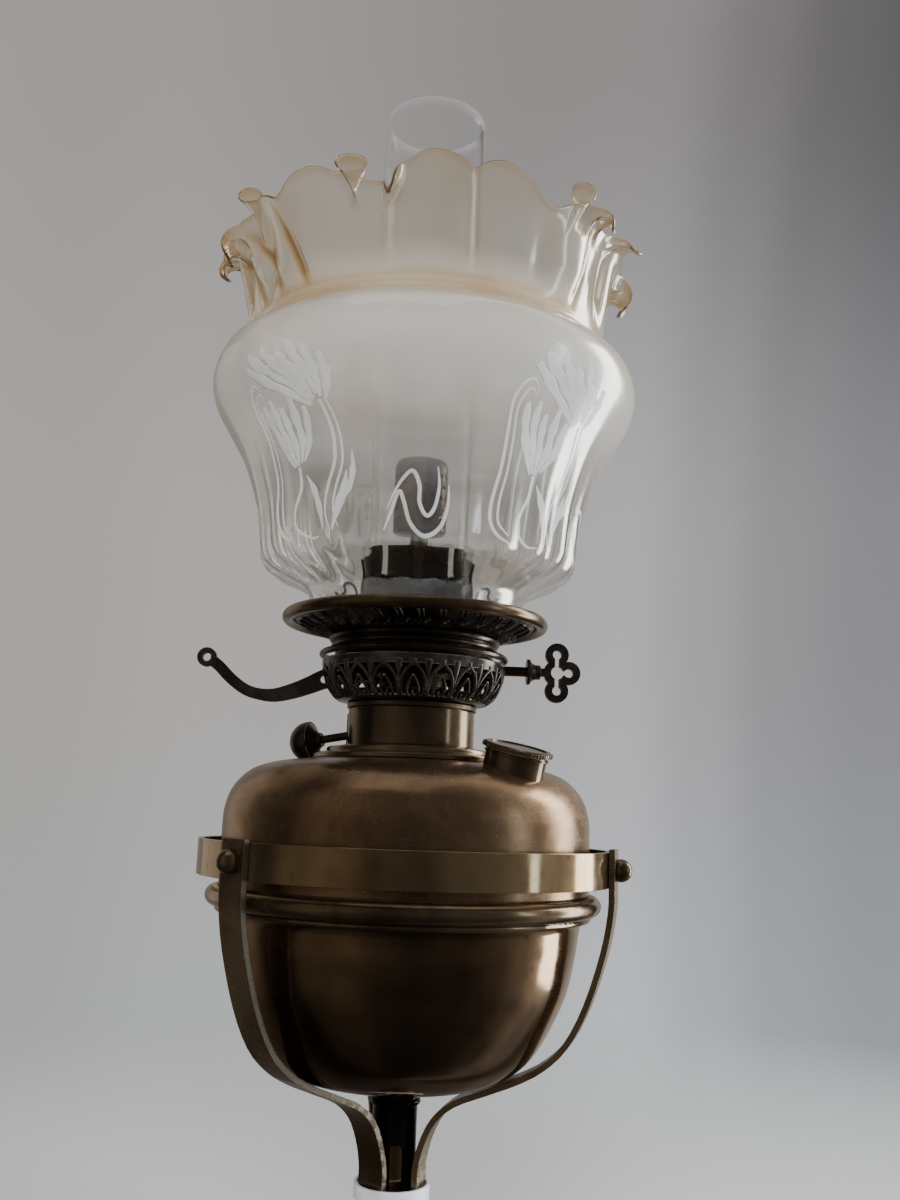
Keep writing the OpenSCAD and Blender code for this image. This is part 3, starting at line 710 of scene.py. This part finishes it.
# Amber grooves running slantwise up the frill: azimuth at waist and at rim, half-width, depth in mm, strength
GROOVES = [
    (-38, -50.5, 1.5, 1.5, 0.55), (-47.5, -71, 1.6, 1.7, 0.55), (-60, -84, 1.6, 1.7, 0.5),
    (47, 56, 1.8, 1.2, 0.30), (118, 108, 1.8, 1.6, 0.4), (152, 160, 1.8, 1.6, 0.4),
    (196, 188, 1.8, 1.6, 0.4), (231, 240, 1.8, 1.6, 0.4)]
# Places where the rim is pulled out and curled over: azimuth, half-width, turn in degrees, pull in mm
CURLS = [
    (-74, 4.0, 200, 9), (-10.5, 2.6, 150, 4), (52, 3.0, 170, 8), (71, 6.0, 120, 8), (96, 5.0, 210, 12),
    (163, 4.5, 180, 10), (200, 5.0, 235, 14), (266, 5, 215, 13)]
# Loops in the rim: azimuth, half-span and sideways swing in degrees, height and depth in mm
RIM_LOOPS = [(-62, 5.0, 5.0, 12, 5), (-22.5, 6.0, 6.3, 13, 5), (44, 4.6, 4.6, 10, 4), (139, 5.0, 4.4, 12, 5),
             (236, 4.6, 4.2, 11, 4)]
LOOP_AMBER = 0.07          # curl that each mm of a loop's rise counts as, when the glass is tinted
CURL_PINCH = 0.5           # how far a curl draws the rim in towards its middle

# Amber of the glass from 0 to 1: the body's and what is added to it, then the frill's and what is added
BODY_TINT, SHOULDER_TINT, WAIST_TINT = 0.04, 0.38, 0.24
FRILL_TINT, ROOT_TINT, EDGE_TINT, STRIPE_TINT, CURL_TINT, CLOUD_TINT = 0.36, 0.30, 0.22, 0.34, 0.13, 0.03
SHOULDER_START, SHOULDER_SPAN = 96, 36      # heights over which the body's amber grows, mm
WAIST_HEIGHT, WAIST_SPREAD = 130, 4.5       # middle and half-height of the waist's amber line, mm
HAZE_START, HAZE_SPAN = 38, 52              # heights over which the body's haze grows, mm
FRILL_HAZE, ROOT_HAZE = 0.24, 0.70          # haze of the frill, and what its root has more of
DEEP_PLEAT = 4.4                            # depth of a pleat with a full amber stripe, mm


def hill(azimuth, centre, width):
    """1 at the centre, falling smoothly to 0 on both sides."""
    return np.exp(-(wrap(azimuth - centre) / width) ** 2)


def plateau(azimuth, centre, width):
    """1 round the centre, falling off more steeply than a hill at both sides."""
    return np.exp(-(wrap(azimuth - centre) / width) ** 4)


def rim_loop(azimuth):
    """Sideways swing in degrees, rise and depth in mm of the loops in the rim."""
    swing, rise, depth = (np.zeros_like(azimuth, dtype=float) for _ in range(3))
    for centre, half, reach, height, out in RIM_LOOPS:
        turn = np.pi * np.clip(wrap(azimuth - centre) / half + 1, 0, 2)
        swing += reach * np.sin(turn)
        rise += height * (1 - np.cos(turn)) / 2
        depth += math.copysign(out, centre) * np.sin(turn)
    return swing, rise, depth


def groove(azimuth, t):
    """Depth in mm and amber of the slanting grooves at t up the frill."""
    grown = min(1.0, 6 * t) * min(1.0, 2.6 * (1 - t))
    depth, amber = 0, 0
    for foot, rim, width, deep, strength in GROOVES:
        line = hill(azimuth, foot + t * (rim - foot), width)
        depth = depth + deep * line
        amber = amber + strength * line
    return grown * depth, grown * amber


def frill(azimuth):
    """Rows of the frill from waist to rim (radius, height, sideways shift), and its pleats and curls."""
    angle = np.radians(azimuth)
    rise = sum(height * hill(azimuth, centre, width) for centre, width, height in RIM_WAVES)
    pleat = sum(depth * hill(azimuth, centre, width) for centre, width, depth in PLEATS)
    turn = sum(degrees * plateau(azimuth, centre, width) for centre, width, degrees, _ in CURLS)
    pull = sum(reach * plateau(azimuth, centre, width) for centre, width, _, reach in CURLS)
    pinch = sum(wrap(azimuth - centre) * hill(azimuth, centre, 1.2 * width) for centre, width, *_ in CURLS)
    turn = np.radians(np.clip(turn, 0, CURL_LIMIT))
    swing, loop_rise, loop_depth = rim_loop(azimuth)
    billow = sum(height * np.cos(waves * angle + phase) for waves, height, phase in BILLOWS)
    sway = np.radians(LEAN_SWAY) * np.sin(4 * angle + 0.5) + np.radians(PLEAT_LEAN) * pleat
    step = (FRILL_LENGTH + rise + pull) / FRILL_STEPS
    r = np.full_like(angle, BODY[-1][0])
    z = np.full_like(angle, BODY[-1][1])
    rows = []
    for t in (np.arange(FRILL_STEPS) + 0.5) / FRILL_STEPS:
        late = max(0.0, (t - CURL_START) / (1 - CURL_START))
        lean = (math.radians(FRILL_LEAN + LEAN_GAIN * t) + sway * t + turn * late ** 1.15
                + math.radians(LIP_LEAN) * late ** 3)
        r = r + step * np.sin(lean)
        z = z + step * np.cos(lean)
        swell = min(1.0, t * 3) * (1 - 0.35 * late)
        loop = late ** 1.3
        sunk = groove(azimuth, t)[0]
        rows.append((r + (billow - pleat) * swell - sunk + loop_depth * loop, z + loop_rise * loop,
                     swing * loop - CURL_PINCH * pinch * late))
    return rows, pleat, turn + LOOP_AMBER * loop_rise


def shade_grid(azimuth):
    """The shade's outer surface: rows from foot to rim, and amber and haze for each point."""
    plain = np.ones_like(azimuth, dtype=float)
    rows, amber, haze = [], [], []
    for r, z in BODY:
        rows.append((rib_radius(r, z, azimuth), z * plain, 0 * plain))
        shoulder = np.clip((z - SHOULDER_START) / SHOULDER_SPAN, 0, 1) ** 1.5
        waist = np.exp(-((z - WAIST_HEIGHT) / WAIST_SPREAD) ** 2)
        amber.append((BODY_TINT + SHOULDER_TINT * shoulder + WAIST_TINT * waist) * plain)
        haze.append(np.clip((z - HAZE_START) / HAZE_SPAN, 0, 1) ** 1.5 * plain)
    frill_rows, pleat, turn = frill(azimuth)
    fold = np.clip(pleat / DEEP_PLEAT, 0, 1) ** 2
    cloud = CLOUD_TINT * np.cos(7 * np.radians(azimuth))
    for k, row in enumerate(frill_rows):
        t = (k + 1) / FRILL_STEPS
        rows.append(row)
        root = ROOT_TINT * max(0.0, 1 - t / 0.10)
        edge = EDGE_TINT * max(0.0, (t - 0.93) / 0.07)
        stripe = STRIPE_TINT * fold * max(0.0, 1 - abs(2 * t - 0.85)) ** 0.6
        curled = CURL_TINT * turn * max(0.0, (t - CURL_START) / (1 - CURL_START))
        tint = FRILL_TINT + root + edge + stripe + curled + groove(azimuth, t)[1] + cloud
        amber.append(np.clip(tint, 0, 1))
        haze.append((ROOT_HAZE * max(0.0, 1 - 3 * t) + FRILL_HAZE) * plain)
    return rows, amber, haze


def rib_radius(r, height, azimuth):
    """Radius of the body with its optic ribs, which are strongest above the foot."""
    rib = np.clip((height - 9) / 10, 0, 1) * np.clip((100 - height) / 70, 0, 1)
    return r + RIB_HEIGHT * rib * np.cos(RIBS * np.radians(azimuth))


def make_shade():
    azimuth = np.arange(SHADE_COLUMNS) * 360 / SHADE_COLUMNS
    rows, amber, haze = shade_grid(azimuth)
    outer = np.array([around(r, azimuth + shift, z + SHADE_Z) for r, z, shift in rows])
    along = np.gradient(outer, axis=0)
    across = np.roll(outer, -1, axis=1) - np.roll(outer, 1, axis=1)
    normal = np.cross(across, along)
    normal /= np.linalg.norm(normal, axis=2, keepdims=True) + 1e-9
    up_frill = np.clip((np.arange(len(rows)) - len(BODY)) / FRILL_STEPS, 0, 1)
    wall = GLASS * (1 - RIM_THINNER * up_frill)
    inner = outer - normal * wall[:, None, None]
    skin = np.concatenate([outer, inner[::-1]])
    faces = closed_faces(len(skin), SHADE_COLUMNS)
    piece = add_mesh("shade_glass", skin.reshape(-1, 3), faces, M_SHADE, "shade")
    for name, field in (("amber", amber), ("haze", haze)):
        values = np.concatenate([field, field[::-1]]).reshape(-1).astype(np.float32)
        piece.data.attributes.new(name, "FLOAT", "POINT").data.foreach_set("value", values)
    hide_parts("shade")


make_shade()

# ---------------------------------------------------------------- etched flowers

# Strokes of one spray, drawn on the unrolled body: points are (mm to the right, mm above the
# shade's foot), then the stroke's widths from start to end in mm.
SPRAY = [
    # open flower, leaning left, its petals gathered at the lower right
    ([(-17, 97), (-10, 92.5), (-3, 88.5), (6, 83.5), (14, 78.5)], (2.4, 3.6, 3.4, 2.6, 1.0)),
    ([(-14, 102), (-8, 96.5), (0, 92.5), (8, 86.5), (15, 79)], (2.4, 4.6, 4.4, 3.0, 1.0)),
    ([(-5, 103), (-1, 98), (5, 93), (11, 87), (16, 80)], (2.4, 4.2, 4.0, 2.6, 0.9)),
    ([(4, 100), (7, 96), (12, 90), (16.5, 81)], (2.4, 3.6, 3.4, 1.0)),
    ([(10, 104), (13, 98), (16, 91), (18.5, 82)], (2.4, 4.6, 4.0, 1.0)),
    ([(18, 101), (20, 95), (20.5, 88), (20, 81)], (2.4, 3.8, 3.6, 1.0)),
    ([(26, 97), (26, 92), (25, 86), (22, 80)], (2.4, 4.0, 3.4, 0.9)),
    # closed flower under it
    ([(-14.4, 82.5), (-12, 74), (-8, 65), (-2, 55.5)], (1.8, 3.4, 3.2, 0.9)),
    ([(-8.5, 84), (-7.5, 75), (-4, 65), (-1, 56)], (1.8, 3.4, 3.0, 0.9)),
    ([(-3, 80), (-2, 73), (0, 64), (0, 56)], (1.8, 3.2, 2.8, 0.8)),
    ([(3, 85), (3.5, 75), (4, 66), (1.5, 57)], (1.8, 3.6, 3.0, 0.8)),
    ([(9.6, 79), (9, 72), (7.5, 65), (3, 57.5)], (1.8, 3.2, 2.8, 0.8)),
    # their stems
    ([(0, 55.5), (-0.3, 46.4), (-4.4, 37), (-4, 30), (2.4, 25.3), (7.5, 25.5)],
     (1.4, 1.6, 1.6, 1.5, 1.2, 0.5)),
    ([(19, 80), (21, 68), (19.5, 56), (15, 46), (12.5, 36), (15, 27)], (1.4, 1.7, 1.6, 1.5, 1.3, 0.5)),
    ([(22, 80), (24, 68), (23, 56), (19, 46), (17, 36), (19, 28)], (0.9, 1.1, 1.1, 1.1, 0.9, 0.4)),
    # leaves at the foot
    ([(3, 52), (6.5, 45), (9, 37), (11, 28)], (0.4, 2.8, 2.8, 0.6)),
    ([(24, 52), (22, 44), (19, 36), (16, 27)], (0.4, 3.0, 2.8, 0.6)),
    ([(28, 60), (27, 52), (24, 44), (20, 38)], (0.4, 2.4, 2.2, 0.5)),
    # double whiplash down the left of the spray
    ([(-12, 88), (-16, 91), (-20, 88.5), (-21.5, 82), (-19, 70.7), (-17.6, 55), (-19.3, 40), (-18.3, 32),
      (-14.2, 26.8), (-7.6, 24.5)], (0.5, 1.2, 1.4, 1.5, 1.5, 1.5, 1.6, 1.6, 1.4, 0.5)),
    ([(-12, 85.5), (-15, 87.6), (-17.6, 85), (-18.2, 79.8), (-15.6, 68), (-14.6, 54), (-15.9, 41),
      (-15, 32.4), (-9.9, 27.5)], (0.4, 0.8, 1.0, 1.0, 1.0, 1.0, 1.1, 1.1, 0.4)),
]
# Whiplash loops between one spray and the next
LOOPS = [
    ([(-15, 26), (-12.4, 33.5), (-9.4, 42.4), (-7, 38), (-4, 29), (1.8, 23.9), (8.6, 28), (11.5, 37),
      (11.8, 46)],
     (0.5, 1.4, 1.7, 1.7, 1.6, 1.7, 1.7, 1.3, 0.4)),
    ([(-14, 35), (-11, 42.5), (-7.5, 48), (-3.7, 50.6), (-0.8, 45), (-0.4, 37.3), (2.8, 32.2), (6, 36.2),
      (7.6, 45), (6.8, 53)], (0.4, 1.1, 1.5, 1.7, 1.7, 1.6, 1.7, 1.6, 1.3, 0.4)),
]
SPRAY_AZIMUTHS = (38, -42, 128, 212)
LOOP_AZIMUTHS = (0, 76, 170, -84)
PETAL_FROM = 2             # strokes with a width above this are petals and leaves, mm
PETAL_BROADER = 1.2        # how much broader those are made where they are that wide
PETAL_WAVE = 0.34          # how much a petal's edges wave
PETAL_LANES, LINE_LANES = 7, 4
ETCH_PROUD = 0.06          # how far the etched skin stands off the glass, mm


def body_radius(height):
    return np.interp(height, BODY[:, 1], BODY[:, 0])


def body_place(azimuth, height, proud):
    """Point of the body's outer face, moved outwards by proud, mm."""
    slope = body_radius(height + 0.5) - body_radius(height - 0.5)
    out = proud / np.sqrt(1 + slope * slope)
    r = rib_radius(body_radius(height), height, azimuth) + out
    return around(r, azimuth, height - out * slope + SHADE_Z)


def stroke_mesh(points, widths, centre):
    """Points and faces of one etched stroke, wrapped on the body round azimuth centre."""
    lanes = PETAL_LANES if max(widths) > PETAL_FROM else LINE_LANES
    path = smooth_curve(points, 10)
    width = spread(widths, len(path))
    waves = np.sin(17 * np.linspace(0, 1, len(path)) + points[0][0])
    ragged = 1 + PETAL_WAVE * np.clip(width / 3 - 0.6, 0, 1) * waves
    width = width * np.where(width > PETAL_FROM, PETAL_BROADER, 1.0) * ragged
    flat = strip(path, width, np.linspace(-0.5, 0.5, lanes))
    height = flat[..., 1]
    azimuth = centre + np.degrees(flat[..., 0] / body_radius(height))
    top = body_place(azimuth, height, ETCH_PROUD).reshape(-1, 3)
    bottom = body_place(azimuth, height, 0.25 * ETCH_PROUD).reshape(-1, 3)
    return np.concatenate([top, bottom]), slab_faces(len(path), lanes)


def make_etching():
    for label, strokes, azimuths in (("spray", SPRAY, SPRAY_AZIMUTHS), ("loops", LOOPS, LOOP_AZIMUTHS)):
        for number, centre in enumerate(azimuths):
            skin = merged([stroke_mesh(path, widths, centre) for path, widths in strokes])
            piece = add_mesh(f"etched_{label}_{number}", *skin, M_ETCH, "shade")


make_etching()

# ---------------------------------------------------------------- stage and light

# Light coming from each direction round the lamp: degrees from the front, towards the right
ROOM = [
    (-180, (0.34, 0.33, 0.32)), (-150, (0.26, 0.23, 0.20)), (-114, (0.20, 0.17, 0.13)),
    (-98, (0.03, 0.026, 0.022)), (-78, (0.012, 0.011, 0.010)), (-66, (0.14, 0.12, 0.096)),
    (-38, (0.18, 0.148, 0.115)), (-12, (0.07, 0.06, 0.052)), (8, (0.04, 0.037, 0.034)),
    (36, (0.07, 0.062, 0.054)), (66, (0.16, 0.145, 0.125)), (88, (0.42, 0.40, 0.36)),
    (107, (1.10, 1.06, 0.98)), (118, (0.90, 0.84, 0.75)), (129, (0.22, 0.19, 0.16)),
    (152, (0.55, 0.50, 0.43)), (180, (0.34, 0.33, 0.32)),
]
# What that light is multiplied by, from straight down to straight up
ROOM_RISE = [(-1.0, (0.10, 0.10, 0.12)), (-0.6, (0.30, 0.30, 0.31)), (-0.25, (0.85, 0.85, 0.85)),
             (0.5, (1.0, 1.0, 1.0)), (1.0, (0.8, 0.76, 0.70))]
# The wall behind, from low to high, on the left and on the right of the picture
WALL_LEFT = [(-0.3, (0.432, 0.444, 0.450)), (0.2, (0.468, 0.444, 0.415)), (0.6, (0.416, 0.393, 0.371))]
WALL_RIGHT = [(-0.3, (0.524, 0.565, 0.606)), (0.2, (0.382, 0.377, 0.399)), (0.6, (0.15, 0.144, 0.15))]
WALL_HALF = 0.38           # how far to each side the wall's two colours lie
# Light along the wall from left to right: brightest just right of the lamp, then falling off
WALL_ACROSS = [(-0.30, (1.0,) * 3), (-0.18, (1.12,) * 3), (0.05, (1.14,) * 3), (0.18, (1.32,) * 3),
               (0.245, (1.05,) * 3), (0.30, (0.84,) * 3), (0.37, (0.74,) * 3)]


def make_world():
    """A pale wall behind, and a dim room with a bright side, as soft bands of light round the lamp."""
    world = bpy.data.worlds.new("studio")
    bpy.context.scene.world = world
    world.use_nodes = True
    world.node_tree.nodes.clear()
    n = Nodes(world.node_tree)
    way = n.add("ShaderNodeSeparateXYZ", Vector=n.add("ShaderNodeTexCoord").outputs["Generated"]).outputs
    side = n.level(way["X"], -WALL_HALF, WALL_HALF)
    wall = n.mix(side, n.band(way["Z"], WALL_LEFT), n.band(way["Z"], WALL_RIGHT))
    wall = n.mix(1.0, wall, n.band(way["X"], WALL_ACROSS), "MULTIPLY")
    turn = n.math("ARCTAN2", way["X"], n.math("MULTIPLY", way["Y"], -1.0))
    room = n.band(n.math("MULTIPLY", turn, 180 / math.pi), ROOM)
    room = n.mix(1.0, room, n.band(way["Z"], ROOM_RISE), "MULTIPLY")
    path = n.add("ShaderNodeLightPath").outputs
    seen = n.math("MAXIMUM", path["Is Camera Ray"], path["Is Transmission Ray"])
    fill = n.add("ShaderNodeBackground", Color=room).outputs[0]
    back = n.add("ShaderNodeBackground", Color=wall).outputs[0]
    both = n.add("ShaderNodeMixShader", Fac=seen, i1=fill, i2=back).outputs[0]
    n.add("ShaderNodeOutputWorld", Surface=both)


FLOOR_HALF = 1.3           # half the floor's side, m
FLOOR_GAP = 1 * MM         # how far the floor lies below the lamp's foot, m
FLOOR_FADE = (0.18, 0.75)  # distances from the lamp's axis between which the floor fades out, m


def make_floor():
    """Pale floor that fades into the backdrop away from the lamp."""
    n = Surface("pale_floor")
    n.set(n.shader, "Base Color", n.mix(n.noise(3, 3), (0.50, 0.515, 0.535), (0.53, 0.545, 0.565)))
    n.shader.inputs["Roughness"].default_value = 0.8
    distance = n.add("ShaderNodeVectorMath", _operation="LENGTH", i0=n.position()).outputs["Value"]
    fade = n.level(distance, *FLOOR_FADE)
    clear = n.add("ShaderNodeBsdfTransparent")
    blend = n.add("ShaderNodeMixShader", Fac=fade, i1=n.shader.outputs[0], i2=clear.outputs[0])
    output = n.tree.nodes["Material Output"]
    n.tree.links.new(blend.outputs[0], output.inputs["Surface"])
    mesh = bpy.data.meshes.new("floor")
    corners = [(FLOOR_HALF * x, FLOOR_HALF * y, 0) for x, y in ((-1, -1), (1, -1), (1, 1), (-1, 1))]
    mesh.from_pydata(corners, [], [(0, 1, 2, 3)])
    mesh.materials.append(n.material)
    floor = bpy.data.objects.new("floor", mesh)
    floor.location.z = -FLOOR_GAP
    floor.visible_glossy = False
    floor.visible_shadow = False
    bpy.context.scene.collection.objects.link(floor)


def area_light(name, place, aim, size, power, colour, mirrored=True):
    """Soft rectangular light; mirrored says whether metal and glass show its shape."""
    data = bpy.data.lights.new(name, "AREA")
    data.shape = "RECTANGLE"
    data.size, data.size_y = size
    data.energy = power
    data.color = colour
    light = bpy.data.objects.new(name, data)
    facing = (Vector(aim) - Vector(place)).to_track_quat("-Z", "Y").to_matrix().to_4x4()
    light.matrix_world = Matrix.Translation(Vector(place)) @ facing
    light.visible_glossy = mirrored
    light.visible_transmission = mirrored
    bpy.context.scene.collection.objects.link(light)


make_world()
make_floor()
area_light("tall_window", around(1.5, 70, 0.42), (0, 0, 0.2), (0.14, 0.8), 0.9, (0.80, 0.95, 1.0))
area_light("bright_side", around(1.4, 110, 0.45), (0, 0, 0.28), (0.46, 1.7), 19, (1.0, 0.98, 0.95))
area_light("top_soft", around(0.3, -20, 1.5), (0, 0, 0.3), (0.9, 0.9), 1.2, (1.0, 0.98, 0.95))
area_light("left_fill", around(1.6, -128, 0.5), (0, 0, 0.25), (0.8, 1.4), 0.8, (1.0, 0.95, 0.88))
area_light("front_soft", around(1.4, -12, 0.75), (0, 0, 0.3), (1.3, 1.3), 44, (1.0, 0.985, 0.96), False)
area_light("right_soft", around(1.4, 82, 0.5), (0, 0, 0.35), (0.8, 1.3), 44, (0.97, 0.99, 1.0), False)
